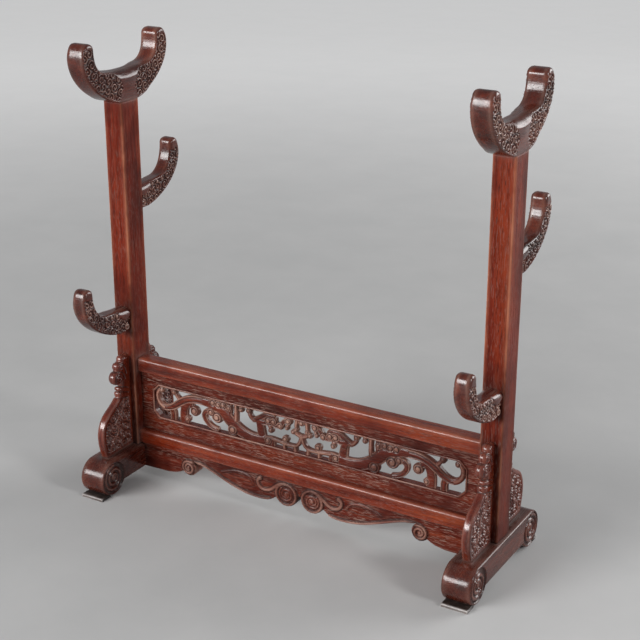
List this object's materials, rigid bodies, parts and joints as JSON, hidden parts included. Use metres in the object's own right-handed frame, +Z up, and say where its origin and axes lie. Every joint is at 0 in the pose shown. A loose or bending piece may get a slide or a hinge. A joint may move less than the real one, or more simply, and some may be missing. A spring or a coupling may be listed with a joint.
{
  "type": "sword stand",
  "caption": "Carved dark hardwood stand for swords: posts on scrolled sled feet with tiered yokes and hooks, joined by rails, a pierced dragon panel and an apron.",
  "frame": {"origin": "on the floor, under the middle of the stand, in the centre plane of the two posts", "axes": "+X along the rails to the right as seen from the front, +Y from the front hooks to the rear hooks, +Z up"},
  "size_m": [0.407, 0.1526, 0.4295],
  "materials": {
    "plain_wood": "waxed dark red-brown hardwood with fine pores",
    "carved_wood": "waxed dark hardwood, darker in the recesses of the carving",
    "worn_pad": "rubbed hardwood with pale worn edges"
  },
  "bodies": {
    "root": {"left_foot": "plain_wood", "right_foot": "plain_wood", "left_front_pad": "worn_pad", "left_back_pad": "worn_pad", "right_front_pad": "worn_pad", "right_back_pad": "worn_pad", "left_post": "plain_wood", "right_post": "plain_wood", "left_front_spandrel": "carved_wood", "left_back_spandrel": "carved_wood", "right_front_spandrel": "carved_wood", "right_back_spandrel": "carved_wood", "upper_rail": "plain_wood", "lower_rail": "plain_wood", "openwork_panel": "carved_wood", "apron": "plain_wood", "left_yoke": "carved_wood", "right_yoke": "carved_wood", "left_rear_hook": "carved_wood", "right_rear_hook": "carved_wood", "left_front_hook": "carved_wood", "right_front_hook": "carved_wood"}
  },
  "joints": []
}
